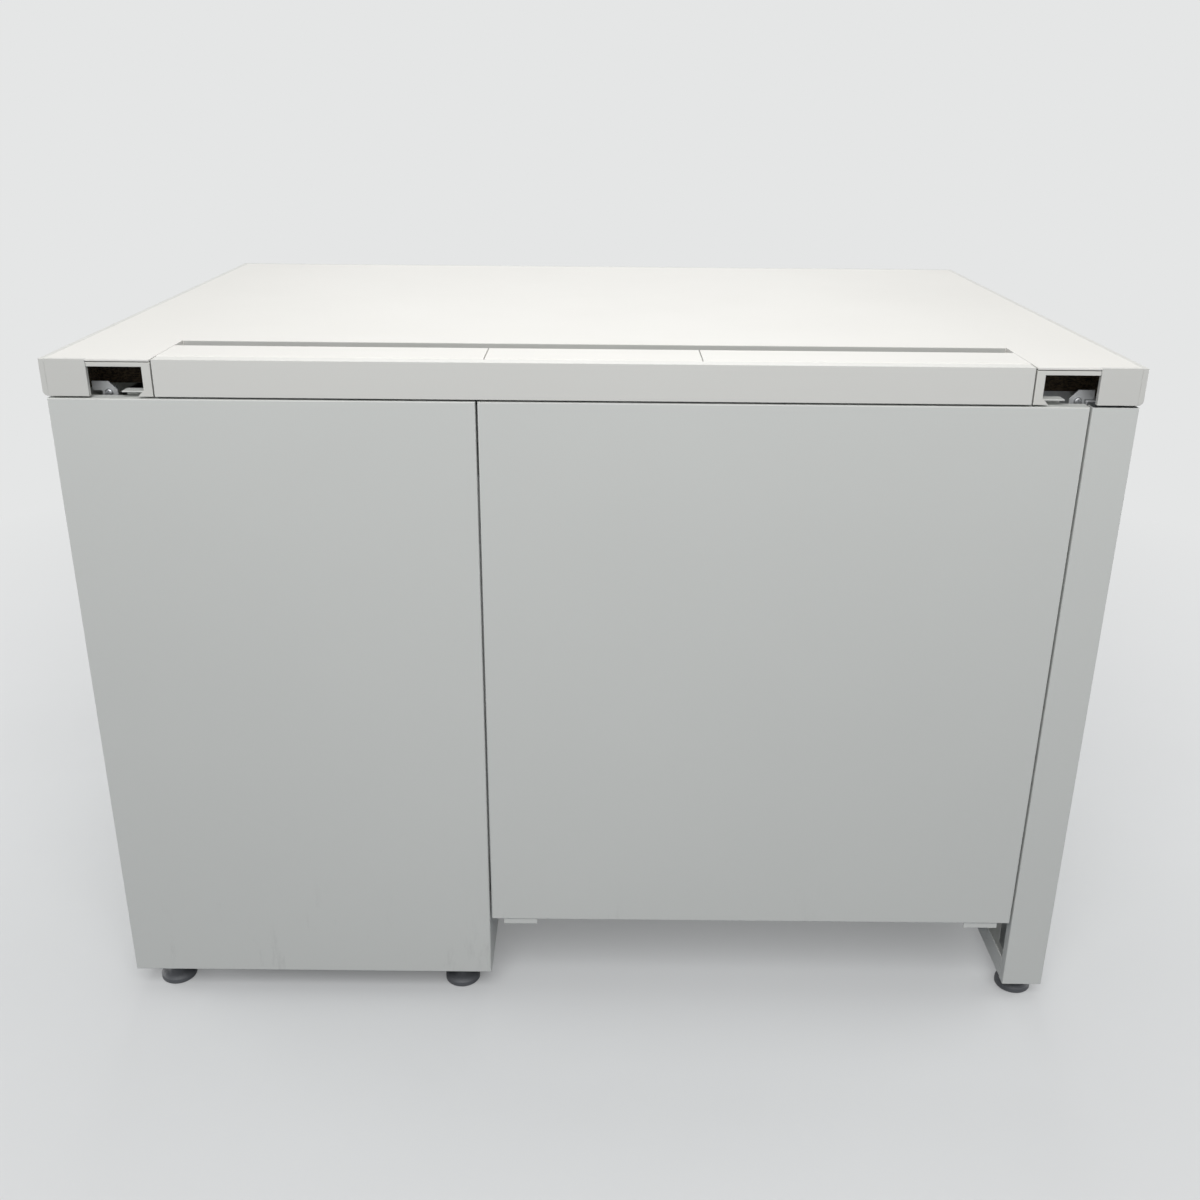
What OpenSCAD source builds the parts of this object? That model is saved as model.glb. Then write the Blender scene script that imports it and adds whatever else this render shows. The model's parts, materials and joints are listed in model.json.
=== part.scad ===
// Single-pedestal office desk. Millimetres. The user sits at -Y and looks along +Y,
// so "left" is -X and "right" is +X. The origin is on the floor below the desk's centre.

/* [Overall] */
// Width of the worktop
top_w = 1000; // [900:1:1400]
// Depth of the worktop
top_d = 700; // [650:1:800]
// Height of the worktop's surface
desk_h = 700; // [680:1:740]
// Thickness of the worktop
top_t = 34; // [30:1:40]
// Thickness of the front edge band
front_band_t = 8; // [3:0.5:12]
// Thickness of the side and rear edge bands
side_band_t = 5; // [2:0.5:8]
// Radius of the bands' lower outer edge
band_r = 5; // [2:0.5:5]

/* [Cable opening] */
// Width of the worktop's rear ends, beside the cable opening
end_w = 100; // [80:1:140]
// Depth of the opening, slot and flaps and fascia together
well_d = 97; // [85:1:110]
// Width of the open cable slot in front of the flaps
slot_d = 26.5; // [18:0.5:35]
// Width of the middle flap
mid_flap_w = 200; // [120:1:300]
// Thickness of a flap
flap_t = 3; // [2.5:0.5:4]
// Depth of the fascia rail
fascia_d = 15; // [12:0.5:20]
// Width of a corner pocket
pocket_w = 58; // [50:1:65]
// Depth of a corner pocket
pocket_d = 60; // [45:1:70]
// Thickness of the worktop's skin over a pocket
skin_t = 2; // [1.5:0.5:4]
// Height of the cable duct under the worktop
duct_h = 76; // [60:1:90]

/* [Pedestal] */
// Width of the pedestal
ped_w = 390; // [380:1:420]
// Height of the pedestal's lower edge above the floor
ped_z = 29; // [26:1:45]
// Inset of the pedestal and the leg from the worktop's sides
side_inset = 2.5; // [1:0.5:12]
// Dark gap between the worktop and the panels below it
shadow_gap = 2; // [1:0.5:4]
// Gap between neighbouring rear panels
seam = 2; // [1:0.5:4]
// Sheet thickness of the panels
sheet = 1; // [0.8:0.1:1.5]
// Inner radius of the bends in folded sheet
bend_r = 0.5; // [0.2:0.1:0.6]
// Depth of the folded rear panels
pan_d = 16; // [12:1:20]
// Height of the rail above the drawers, which holds the lock
lock_rail_h = 28; // [24:1:36]

/* [Drawers] */
// Height of the top drawer's front
high_front_h = 135; // [120:1:150]
// Height of the middle drawer's front
mid_front_h = 160; // [140:1:180]
// Gap between drawer fronts
front_gap = 3; // [2:0.5:5]
// Depth of a drawer front
front_t = 18; // [15:0.5:22]
// Height of the moulded pull along a front's edge
pull_h = 28; // [24:1:34]
// Depth of a pedestal drawer's box
box_d = 500; // [400:1:520]
// Height of the centre drawer's front
centre_front_h = 62; // [58:1:80]
// Depth of the centre drawer's box
centre_box_d = 420; // [350:1:450]

/* [Leg and modesty panel] */
// Width of the leg's rear face
leg_w = 43; // [40:1:46]
// Height of the leg's lower edge above the floor
leg_z = 20; // [18:1:30]
// Height of the channel along the leg's foot
leg_channel_h = 25; // [18:1:40]
// Height of the modesty panel's lower edge above the floor
modesty_z = 99.5; // [60:0.5:250]

/* [Feet] */
// Diameter of a levelling foot
foot_dia = 38; // [30:1:40]
// Thread diameter of a foot's stem
stem_dia = 10; // [8:1:12]

/* [Hidden] */

// Clearances
seat = 0.3;          // between pieces that are fastened or rest on each other
fit = 0.05;          // radial, shaft in hole
slack = 0.5;         // between moving members

// Colours
top_white = "#ebeae5";
steel_white = "#c6c8c4";
plastic_white = "#dcdcd6";
zinc = "#a9adb0";
dark = "#2f3133";

// Reference planes
rear_y = top_d / 2;
front_y = -top_d / 2;
under_z = desk_h - top_t;
case_top = under_z - shadow_gap;
ped_out = top_w / 2 - side_inset;
ped_in = ped_out - ped_w;
ped_mid = (ped_in + ped_out) / 2;
leg_out = -top_w / 2 + side_inset;
leg_in = leg_out + leg_w;
panel_mid = (leg_in + ped_in) / 2;
band_x = top_w / 2 - side_band_t;
band_y = front_y + front_band_t;
rear_band_y = rear_y - side_band_t;

// Opening behind the worktop
well_w = top_w - 2 * end_w;
well_y = rear_y - well_d;
flap_y = well_y + slot_d;
fascia_y = rear_y - fascia_d;
end_gap = 1.5;
ceiling_z = desk_h - skin_t;
pocket_extra = 13;   // by which a pocket is wider behind its rim
trim_t = 1.2;
fascia_wall = 2;

// Flap hinge
barrel_r = 4.8;
barrel_drop = 0.1;
pin_r = 1.5;
hood_t = 1.4;        // wall of the hood that covers a hinge block
hood_gap = 0.3;
hood_root = 0.5;     // its overlap with the flap's plate
hinge_y = fascia_y - barrel_r - slack;
hinge_z = desk_h - barrel_r - barrel_drop;
flap_gap = 1;
lip_h = 9;
block_w = 12;
pin_reach = 8;
block_clear = 0.6;
block_xs = [-well_w / 2 + end_gap + block_w / 2, -mid_flap_w / 2, mid_flap_w / 2,
    well_w / 2 - end_gap - block_w / 2];
flap_end_gap = 0.6;
flap_end = well_w / 2 - flap_end_gap;
end_cut = block_w + end_gap - flap_end_gap + block_clear;
mid_cut = block_w / 2 - flap_gap / 2 + block_clear;

// Duct
duct_sheet = 1.2;
duct_forward = 25;   // by which the duct reaches in front of the opening
duct_past = 30;      // by which it reaches past the opening's ends
duct_front = well_y - duct_forward;
duct_flange = 28;
duct_clear = 2;
duct_rear = rear_y - pan_d - duct_clear;
duct_z = under_z - duct_h;
ledge_rise = 3;
ledge_z = under_z + ledge_rise;
duct_reach = well_w / 2 + duct_past;

// Corner brackets, fastened to the frames beside the duct's ends
tongue_past = 1;     // by which the frame's tongue reaches past the line of the leg
frame_end_x = -leg_in + tongue_past;
bracket_x = frame_end_x - seat;

// Drawer fronts and the case behind them
case_gap = 1;
front_set_back = 4;
front_face = front_y + front_set_back;
case_front = front_face + front_t + case_gap;
side_rear = rear_y - pan_d - seat;
post_d = 12;
lip = 25;
drawer_rise = 3;
drawer_z0 = ped_z + drawer_rise;
drawer_z1 = case_top - lock_rail_h;
high_z = drawer_z1 - front_gap - high_front_h;
mid_z = high_z - front_gap - mid_front_h;
low_z = drawer_z0;
low_front_h = mid_z - front_gap - low_z;
front_inset = 1;
front_x0 = ped_in + front_inset;
front_w = ped_w - 2 * front_inset;

// Runners
runner_t = 12.7;
runner_h = 45;
runner_sheet = 1.2;
nest = runner_sheet + slack;
race_w = 11;         // reach of the outer member's flanges
mid_race_w = 11.5;   // reach of the middle member's flanges
inner_race_w = 9.1;  // reach of the inner member's flanges
post_w = 26;
runner_inset = 5;
runner_short = 6;    // by which a runner is shorter than its box
runner_rise = 8;     // from the box's lower edge to the runner's
runner_y = case_front + runner_inset;
runner_l = box_d - runner_short;
post_y = runner_y + runner_l - post_w;
box_x0 = ped_in + post_d + runner_t;
box_w = ped_w - 2 * (post_d + runner_t);
box_sheet = 0.8;
box_y = front_face + front_t + seat;

// A box starts this far above its front's lower edge, and ends this far below its pull
low_rise = 24;
mid_rise = 14;
high_rise = 14;
box_drop = 6;
stud_drop = 14;
seam_w = 0.2;
box_lip = 10;        // width of the lips that carry a box's floor
hem_w = 7;           // width and height of the hem along a box's upper edge
hem_h = 5;
back_drop = 6;       // from the box's upper edge to its back's
grip = 12;           // reach of a front's return flanges past the box's sides
pull_wall = 2.5;
lip_drop = 8;

// Base and feet
base_h = 15;
floor_z = ped_z + base_h;
base_sheet = 1.5;
nut_h = 14;
nut_af = 17;
pad_h = 9;
hub_gap = 2;
hub_h = leg_z - hub_gap;
stem_top = floor_z;
hub_r = 9;
foot_inset_x = 35;
foot_r = foot_dia / 2;
leg_foot_front = 32; // from the worktop's front edge to the leg's front foot
leg_foot_rear = 27;
ped_foot_front = 27; // from the case's front edge to the pedestal's front feet
ped_foot_rear = 29;
leg_foot_x = (leg_out + leg_in) / 2 + 0.5;
leg_feet = [[leg_foot_x, front_y + leg_foot_front], [leg_foot_x, rear_y - leg_foot_rear]];
ped_feet = [for (y = [case_front + ped_foot_front, rear_y - ped_foot_rear])
    for (x = [ped_in + foot_inset_x, ped_out - foot_inset_x]) [x, y]];

// Lock
lock_inset = 26;
lock_x = ped_out - lock_inset;
lock_z = case_top - lock_rail_h / 2;
plug_r = 5.5;
housing_r = 8;
flange_w = 2;        // width and thickness of the rims round the housing and the plug
flange_t = 1.5;
bar_lift = 8;
crank_out = bar_lift / 2;
crank_r = crank_out * sqrt(2);
crank_pin_r = 2;
cam_t = 2.5;
bar_t = 3;
bar_w = 8;
bar_x = ped_out - sheet - seat - bar_w;
bar_inset = 8;
bar_y = case_front + bar_inset;
bar_tail = 10;       // length of the bar below its lowest hook
stud_r = 3;
stud_l = 8;
stud_gap = 2;
stud_y = bar_y + bar_t + stud_r + stud_gap;
hook_h = 10;
hook_gap = 1.5;
head_h = 16;
housing_l = 20;

// Centre drawer
knee_gap = 4;
knee_x0 = leg_in + knee_gap;
knee_x1 = ped_in - knee_gap;
knee_mid = (knee_x0 + knee_x1) / 2;
centre_front_z = case_top - centre_front_h;
centre_box_h = 42;
centre_box_drop = 10;
centre_box_z = case_top - centre_box_h - centre_box_drop;
centre_runner_h = 35;
hanger_in = 14;
hanger_sheet = 1.5;
centre_box_x0 = knee_x0 + hanger_in + runner_t;
centre_box_x1 = knee_x1 - hanger_in - runner_t;
centre_lock_x = knee_mid;
centre_lock_drop = 23;
centre_lock_z = case_top - centre_lock_drop;
centre_runner_rise = 3;
centre_runner_z = centre_box_z + centre_runner_rise;
centre_runner_l = centre_box_d - runner_short;
rail_gap = 7;
rail_y = front_face + front_t + rail_gap;

// Frames, leg posts and the modesty panel's brackets
frame_h = 12;
leg_lip = 12;
leg_post_d = 22;
leg_post_w = 36;
leg_post_x0 = leg_out + sheet + base_sheet + 2 * seat;
leg_post_x1 = leg_post_x0 + leg_post_d;
post_to_foot = 11;
leg_rear_post_y = leg_feet[1][1] - post_to_foot - leg_post_w;
tab_in = 15;
tab_w = 36;
tab_t = 1.5;
tab_y = rear_y - sheet - seat;
tab_drop = 6.5;
tab_rise = 10;
tab_h = 45;
tab_flange = 28;

// ---------- folded sheet ----------

// Direction of a path's segment i, and the normal on its left
function dir(p, i) = (p[i + 1] - p[i]) / norm(p[i + 1] - p[i]);
function left_of(d) = [-d[1], d[0]];

// Inner point of a folded strip at path point i
function fold(p, i, t) =
    let (
        a = left_of(dir(p, max(i - 1, 0))),
        b = left_of(dir(p, min(i, len(p) - 2)))
    )
    p[i] + (a + b) * t / (1 + a * b);

// Section of a moulded or drawn wall of thickness t with sharp corners. It follows path p, with its
// material on the left of the path, or on the right if t is negative
module strip(p, t)
    polygon(concat(p, [for (i = [len(p) - 1:-1:0]) fold(p, i, t)]));

// Radius to the path of the bend at its point i, and the length it takes from each run beside it
function turn(p, i) = cross(dir(p, i - 1), dir(p, i));
function path_r(p, i, t) = bend_r + (turn(p, i) * t > 0 ? abs(t) : 0);
function bend_cut(p, i, t) = path_r(p, i, t) * tan(abs(asin(turn(p, i))) / 2);

// Section of a folded sheet: as strip, with a round bend at each point of the path
module folded(p, t) {
    last = len(p) - 1;
    for (i = [0:last - 1]) {
        d = dir(p, i);
        a = p[i] + d * (i > 0 ? bend_cut(p, i, t) : 0);
        b = p[i + 1] - d * (i + 1 < last ? bend_cut(p, i + 1, t) : 0);
        side = left_of(d) * t;
        polygon(t > 0 ? [a, b, b + side, a + side] : [b, a, a + side, b + side]);
    }
    for (i = [1:last - 1]) bend(p, i, t);
}

// The ring piece that joins two runs at path point i
module bend(p, i, t) {
    d = dir(p, i - 1);
    a = p[i] - d * bend_cut(p, i, t);
    b = p[i] + dir(p, i) * bend_cut(p, i, t);
    centre = a + left_of(d) * sign(turn(p, i)) * path_r(p, i, t);
    intersection() {
        translate(centre) difference() {
            circle(bend_r + abs(t), $fn = 48);
            circle(bend_r, $fn = 48);
        }
        polygon([centre, centre + (a - centre) * 3, centre + (p[i] - centre) * 3,
            centre + (b - centre) * 3]);
    }
}

// Rectangle from the origin with round corners at its far end
module round_end(w, d, r) {
    square([w, d - r]);
    translate([r, 0]) square([w - 2 * r, d]);
    for (x = [r, w - r]) translate([x, d - r]) circle(r, $fn = 48);
}

// Block between y_open and y_face whose four edges round y_face have radius r
module pan_form(x0, x1, y_open, y_face, z0, z1, r) {
    rear = y_face > y_open;
    d = abs(y_face - y_open);
    intersection() {
        translate([0, 0, z0]) linear_extrude(z1 - z0)
            translate([rear ? x0 : x1, y_open]) rotate(rear ? 0 : 180) round_end(x1 - x0, d, r);
        along_x(x0, x1)
            translate([y_open, rear ? z1 : z0]) rotate(rear ? -90 : 90) round_end(z1 - z0, d, r);
    }
}

// Extrudes a section in the YZ plane from x0 to x1
module along_x(x0, x1)
    translate([x0, 0, 0]) rotate([90, 0, 90]) linear_extrude(x1 - x0) children();

// Extrudes a section in the XZ plane from y0 to y1
module along_y(y0, y1)
    translate([0, y1, 0]) rotate([90, 0, 0]) linear_extrude(y1 - y0) children();

// Box between two corners
module block(a, b)
    translate(a) cube(b - a);

// Round bar along X from x0 to x1
module rod_x(y, z, r, x0, x1)
    translate([x0, y, z]) rotate([0, 90, 0]) cylinder(r = r, h = x1 - x0, $fn = 48);

// Round bar along Y from y0 to y1
module rod_y(x, z, r, y0, y1)
    translate([x, y0, z]) rotate([-90, 0, 0]) cylinder(r = r, h = y1 - y0, $fn = 48);

// Tray with an open side towards -Y: a folded panel seen from the rear
module rear_pan(x0, x1, z0, z1, depth)
    difference() {
        pan_form(x0, x1, rear_y - depth, rear_y, z0, z1, bend_r + sheet);
        pan_form(x0 + sheet, x1 - sheet, rear_y - depth - 1, rear_y - sheet, z0 + sheet, z1 - sheet,
            bend_r);
    }

// Mirrors across the plane at mid_x with -1, and keeps its children with 1
module on_side(side, mid_x = 0)
    translate([mid_x, 0, 0]) mirror([side < 0 ? 1 : 0, 0, 0]) translate([-mid_x, 0, 0]) children();

// ---------- worktop ----------

// Side-to-side section of the worktop, with rounded lower edges
module top_section(width)
    translate([-width / 2, under_z]) {
        translate([0, band_r]) square([width, top_t - band_r]);
        translate([band_r, 0]) square([width - 2 * band_r, top_t]);
        for (x = [band_r, width - band_r]) translate([x, band_r]) circle(band_r, $fn = 48);
    }

// The whole worktop before it is cut into board and bands
module top_blank()
    intersection() {
        along_y(front_y, rear_y) top_section(top_w);
        along_x(-top_w / 2, top_w / 2) translate([band_r, 0]) top_section(top_d + 2 * band_r);
    }

// Opening for slot, flaps and fascia, and the pockets beside it
module top_cuts() {
    block([-well_w / 2, well_y, under_z - 1], [well_w / 2, rear_y + 1, desk_h + 1]);
    block([-well_w / 2 - pocket_w, rear_y - pocket_d, under_z - 1],
        [well_w / 2 + pocket_w, rear_y + 1, ceiling_z]);
    block([-well_w / 2 - pocket_w - pocket_extra, rear_y - pocket_d, under_z - 1],
        [well_w / 2 + pocket_w + pocket_extra, rear_band_y, ceiling_z]);
}

module worktop_board() {
    color(top_white) difference() {
        block([-band_x, band_y, under_z], [band_x, rear_y, desk_h]);
        top_cuts();
        for (side = [-1, 1]) on_side(side)
            block([well_w / 2 + pocket_w, rear_band_y, under_z - 1], [band_x + 1, rear_y + 1, desk_h + 1]);
    }
}

module front_edge_band() {
    color(top_white) intersection() {
        top_blank();
        block([-top_w, front_y - 1, 0], [top_w, band_y, desk_h]);
    }
}

module side_edge_bands() {
    color(top_white) for (side = [-1, 1]) intersection() {
        top_blank();
        on_side(side) block([band_x, band_y, 0], [top_w, rear_y + 1, desk_h]);
    }
}

module rear_edge_bands() {
    color(top_white) for (side = [-1, 1]) on_side(side)
        block([well_w / 2 + pocket_w, rear_band_y, under_z], [band_x, rear_y, desk_h]);
}

module slot_trim() {
    end_inset = 1;
    top_drop = 0.4;
    color("#8c8e8c") along_x(-well_w / 2 + end_inset, well_w / 2 - end_inset)
        strip([[well_y + trim_t, under_z], [well_y + trim_t, desk_h - top_drop]], trim_t);
}

// ---------- rear opening ----------

module fascia_rail() {
    front_lip = 14;
    color(steel_white) along_x(-well_w / 2 + end_gap, well_w / 2 - end_gap)
        strip([[fascia_y, desk_h - front_lip], [fascia_y, desk_h], [rear_y, desk_h], [rear_y, under_z]],
            -fascia_wall);
}

// Moulded lining of a corner pocket: a rim at the rear face, a roof and an inner cheek
module corner_bezels() {
    rim_t = 4;
    wall = 2;
    cheek = 8;
    chamfer = 6;
    roof_gap = 0.8;
    roof_z = ceiling_z - roof_gap;
    roof_h = 4;
    x0 = well_w / 2;
    x1 = well_w / 2 + pocket_w - seat;
    color(plastic_white) for (side = [-1, 1]) on_side(side) {
        along_y(rear_y - rim_t, rear_y - seat)
            polygon([[x0, under_z], [x0 + cheek + chamfer, under_z], [x0 + cheek, under_z + chamfer],
                [x0 + cheek, roof_z - roof_h], [x1, roof_z - roof_h], [x1, roof_z], [x0, roof_z]]);
        along_y(rear_y - pocket_d + 2, rear_y - rim_t)
            strip([[x0, ledge_z + duct_sheet + seat], [x0, roof_z], [x1, roof_z]], -wall);
    }
}

// Folded plates that stand in the pockets, fastened to the frames of the leg and the pedestal
module corner_brackets() {
    t = 2;
    duct_gap = 11;
    ear = 9;
    x0 = duct_reach + duct_gap;
    x1 = bracket_x + ear;
    chamfer = 8;
    set_back = 24;
    drop = 24;
    rise = 9;
    wing = 34;
    plate_y = rear_y - set_back;
    low_z = under_z - drop;
    top_z = under_z + rise;
    color(zinc) for (side = [-1, 1]) on_side(side) {
        along_y(plate_y - t, plate_y)
            polygon([[x0, low_z], [bracket_x, low_z], [bracket_x, under_z + seat],
                [x1, under_z + seat], [x1, top_z], [x0 + chamfer, top_z], [x0, top_z - chamfer]]);
        block([bracket_x - t, plate_y - wing, low_z], [bracket_x, plate_y - t, under_z - 1]);
    }
}

module cable_duct() {
    ledge_inset = 5;
    stop_inset = 4;
    flange_z = under_z - duct_sheet;
    stop_y = rear_y - fascia_wall - seat;
    color(steel_white) {
        along_x(-duct_reach, duct_reach)
            folded([[duct_front - duct_flange, flange_z], [duct_front, flange_z], [duct_front, duct_z],
                [duct_rear, duct_z], [duct_rear, ledge_z], [rear_y - ledge_inset, ledge_z]], duct_sheet);
        along_x(-well_w / 2 + stop_inset, well_w / 2 - stop_inset)
            folded([[duct_rear + ledge_inset, ledge_z], [stop_y, ledge_z],
                [stop_y, desk_h - fascia_wall - seat]], duct_sheet);
    }
}

// Blocks on the fascia's front lip that carry the closed flaps. Each holds its pin in an eye that is
// open at the top rear, where the flap's plate swings past
module hinge_blocks() {
    arm_z = desk_h - flap_t - seat;
    arm_inset = 12;
    arm_y = flap_y + arm_inset;
    tip_h = 4;
    root_h = 14;
    root_d = 6;
    color(plastic_white) for (x = block_xs) difference() {
        along_x(x - block_w / 2, x + block_w / 2)
            polygon([[arm_y, arm_z - tip_h], [hinge_y - root_d, arm_z - root_h],
                [fascia_y - seat, arm_z - root_h], [fascia_y - seat, hinge_z - seat],
                [hinge_y, hinge_z - seat], [hinge_y, arm_z], [arm_y, arm_z]]);
        rod_x(hinge_y, hinge_z, pin_r + fit, x - block_w, x + block_w);
        along_x(x - block_w, x + block_w) hood_path();
    }
}

// Way of a flap's hood round the eye of a hinge block
module hood_path()
    translate([hinge_y, hinge_z]) intersection() {
        difference() {
            circle(barrel_r + hood_gap, $fn = 48);
            circle(barrel_r - hood_t - hood_gap, $fn = 48);
        }
        translate([-hood_gap, -2 * barrel_r]) square([3 * barrel_r, 2 * barrel_r]);
    }

module hinge_pins() {
    half = block_w / 2 + pin_reach;
    end = well_w / 2 - end_gap;
    color(zinc) for (x = block_xs)
        rod_x(hinge_y, hinge_z, pin_r, max(x - half, -end), min(x + half, end));
}

// Flap from x0 to x1. Over the hinge blocks at its ends, only a hood is left of its barrel
module flap(x0, x1, cut0, cut1) {
    b0 = x0 + cut0;
    b1 = x1 - cut1;
    color(top_white) {
        along_x(x0, x1)
            strip([[flap_y, desk_h - lip_h], [flap_y, desk_h], [hinge_y, desk_h]], -flap_t);
        difference() {
            rod_x(hinge_y, hinge_z, barrel_r, x0, x1);
            for (x = [b0 - 1, b1 - pin_reach])
                rod_x(hinge_y, hinge_z, pin_r + fit, x, x + pin_reach + 1);
            along_x(x0 - 1, b0) barrel_cut();
            along_x(b1, x1 + 1) barrel_cut();
        }
    }
}

// What is cut from the barrel to leave the hood: all but its upper rear quarter's wall
module barrel_cut()
    translate([hinge_y, hinge_z]) {
        circle(barrel_r - hood_t, $fn = 48);
        translate([-2 * barrel_r, -2 * barrel_r]) square([2 * barrel_r - hood_root, 4 * barrel_r]);
        translate([-barrel_r, -2 * barrel_r]) square([3 * barrel_r, 2 * barrel_r]);
    }

module left_flap() flap(-flap_end, -mid_flap_w / 2 - flap_gap / 2, end_cut, mid_cut);
module middle_flap() flap(-mid_flap_w / 2 + flap_gap / 2, mid_flap_w / 2 - flap_gap / 2, mid_cut, mid_cut);
module right_flap() flap(mid_flap_w / 2 + flap_gap / 2, flap_end, mid_cut, end_cut);

// ---------- pedestal case ----------

// Heights of the three lock studs, and of the hooks that rise in front of them
box_tops = [box_top(low_z, low_front_h, low_rise), box_top(mid_z, mid_front_h, mid_rise),
    box_top(high_z, high_front_h, high_rise)];

// Top of the box behind a front: low by the pull's height and a little more
function box_top(front_z, front_h, rise) = front_z + front_h - pull_h - box_drop;
function stud_height(top) = top - stud_drop;
function hook_top(top) = stud_height(top) - stud_r - hook_gap;

// Side panel, folded into a post at its front and at its rear
module case_side(side) {
    in = ped_out - post_d;
    on_side(side, ped_mid) translate([0, 0, ped_z]) linear_extrude(case_top - ped_z)
        folded([[in, case_front + lip], [in, case_front], [ped_out, case_front], [ped_out, side_rear],
            [in, side_rear], [in, side_rear - lip]], sheet);
}

module pedestal_right_side() {
    x0 = ped_out - post_d - 1;
    x1 = x0 + sheet + 2;
    y0 = bar_y - hook_gap;
    y1 = bar_y + bar_t + hook_gap;
    color(steel_white) difference() {
        case_side(1);
        for (top = box_tops)
            block([x0, y0, hook_top(top) - hook_h - 1], [x1, y1, hook_top(top) + bar_lift + 1]);
        block([x0, y0, lock_z - crank_r - head_h], [x1, y1, case_top + 1]);
    }
}

module pedestal_left_side() {
    color(steel_white) difference() {
        case_side(-1);
        block([ped_in - 1, duct_front - duct_clear, duct_z - duct_clear],
            [ped_in + post_d + 1, rear_y, case_top + 1]);
    }
}

module pedestal_back() {
    color(steel_white) rear_pan(ped_in, ped_out, ped_z, case_top, pan_d);
}

// Base: a floor between the posts, with flanges turned down all round
module pedestal_base() {
    y1 = side_rear - seat;
    in_x = post_d + seat;
    side_x = sheet + seat;
    color(steel_white) difference() {
        union() {
            block([ped_in + in_x, case_front, ped_z], [ped_out - in_x, y1, floor_z + base_sheet]);
            block([ped_in + side_x, case_front + lip + seat, ped_z],
                [ped_out - side_x, side_rear - lip - seat, floor_z + base_sheet]);
        }
        block([ped_in + in_x + base_sheet, case_front + base_sheet, ped_z - 1],
            [ped_out - in_x - base_sheet, y1 - base_sheet, floor_z]);
        block([ped_in + side_x + base_sheet, case_front + lip + seat + base_sheet, ped_z - 1],
            [ped_out - side_x - base_sheet, side_rear - lip - seat - base_sheet, floor_z]);
        for (at = ped_feet) translate([at[0], at[1], floor_z - 1])
            cylinder(r = stem_dia / 2 + 1, h = base_sheet + 2, $fn = 32);
    }
}

// Ring that carries the worktop, with a tongue beside the duct's right end
module pedestal_top_frame() {
    x0 = ped_in + sheet + seat;
    x1 = ped_out - sheet - seat;
    gap = 5;
    y0 = case_front + lip + gap;
    y1 = duct_front - duct_flange - gap;
    tongue_y = side_rear - lip - 2;
    z0 = under_z - frame_h;
    t = base_sheet;
    ring = 40;
    color(steel_white) difference() {
        union() {
            block([x0, y0, z0], [x1, y1, under_z]);
            block([frame_end_x, y0, z0], [x1, tongue_y, under_z]);
        }
        block([x0 + t, y0 + t, z0 - 1], [x1 - t, y1 - t, under_z - t]);
        block([frame_end_x + t, y0 + t, z0 - 1], [x1 - t, tongue_y - t, under_z - t]);
        block([x0 + ring, y0 + ring, z0 - 1], [x1 - ring, y1 - ring, under_z + 1]);
    }
}

// Rail above the drawers: a folded pan with the lock's hole
module lock_rail() {
    color(steel_white) difference() {
        front_pan(ped_in + 1, ped_out - 1, drawer_z1, case_top, front_t + case_gap - seat, post_d - 1);
        rod_y(lock_x, lock_z, housing_r + fit, front_face - 1, front_face + sheet + 1);
    }
}

// Folded pan, open at the back between return flanges of width side_lip
module front_pan(x0, x1, z0, z1, depth, side_lip) {
    rear = front_face + depth;
    difference() {
        pan_form(x0, x1, rear, front_face, z0, z1, bend_r + sheet);
        pan_form(x0 + sheet, x1 - sheet, rear - sheet, front_face + sheet, z0 + sheet, z1 - sheet, bend_r);
        block([x0 + side_lip, rear - 2 * sheet, z0 + sheet], [x1 - side_lip, rear + 1, z1 - sheet]);
    }
}

// Channel posts that carry the rear ends of the runners
module runner_posts() {
    x0 = ped_out - post_d;
    x1 = ped_out - sheet;
    z0 = floor_z + base_sheet;
    z1 = under_z - frame_h - seat;
    color(zinc) for (side = [-1, 1]) on_side(side, ped_mid) translate([0, 0, z0]) linear_extrude(z1 - z0)
        folded([[x1, post_y], [x0, post_y], [x0, post_y + post_w], [x1, post_y + post_w]], -sheet);
}

// ---------- telescopic runners ----------

// Members of a runner on the right of a drawer. x is the face it hangs on, z its lower edge
module outer_member(x, z, h, y0, l)
    along_y(y0, y0 + l)
        folded([[x - race_w, z], [x, z], [x, z + h], [x - race_w, z + h]], runner_sheet);

module mid_member(x, z, h, y0, l)
    along_y(y0, y0 + l)
        folded([[x - mid_race_w, z + nest], [x - nest, z + nest], [x - nest, z + h - nest],
            [x - mid_race_w, z + h - nest]], runner_sheet);

module inner_member(x, z, h, y0, l, steps) {
    x1 = x - runner_t;
    x0 = x1 + inner_race_w;
    z0 = z + steps * nest;
    z1 = z + h - steps * nest;
    along_y(y0, y0 + l) folded([[x0, z0], [x1, z0], [x1, z1], [x0, z1]], -runner_sheet);
}

// Lower edge of each pedestal runner
runner_zs = [for (box_z = [low_z + low_rise, mid_z + mid_rise, high_z + high_rise]) box_z + runner_rise];

module fixed_runners() {
    color(zinc) {
        for (side = [-1, 1]) on_side(side, ped_mid) for (z = runner_zs)
            outer_member(ped_out - post_d, z, runner_h, runner_y, runner_l);
        for (side = [-1, 1]) on_side(side, knee_mid)
            outer_member(knee_x1 - hanger_in, centre_runner_z, centre_runner_h, runner_y, centre_runner_l);
    }
}

module mid_members(z)
    color(zinc) for (side = [-1, 1]) on_side(side, ped_mid)
        mid_member(ped_out - post_d, z, runner_h, runner_y, runner_l);

module drawer_runners(z)
    color(zinc) for (side = [-1, 1]) on_side(side, ped_mid)
        inner_member(ped_out - post_d, z, runner_h, runner_y, runner_l, 2);

module bottom_mid_members() mid_members(runner_zs[0]);
module middle_mid_members() mid_members(runner_zs[1]);
module top_mid_members() mid_members(runner_zs[2]);
module bottom_drawer_runners() drawer_runners(runner_zs[0]);
module middle_drawer_runners() drawer_runners(runner_zs[1]);
module top_drawer_runners() drawer_runners(runner_zs[2]);

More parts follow.
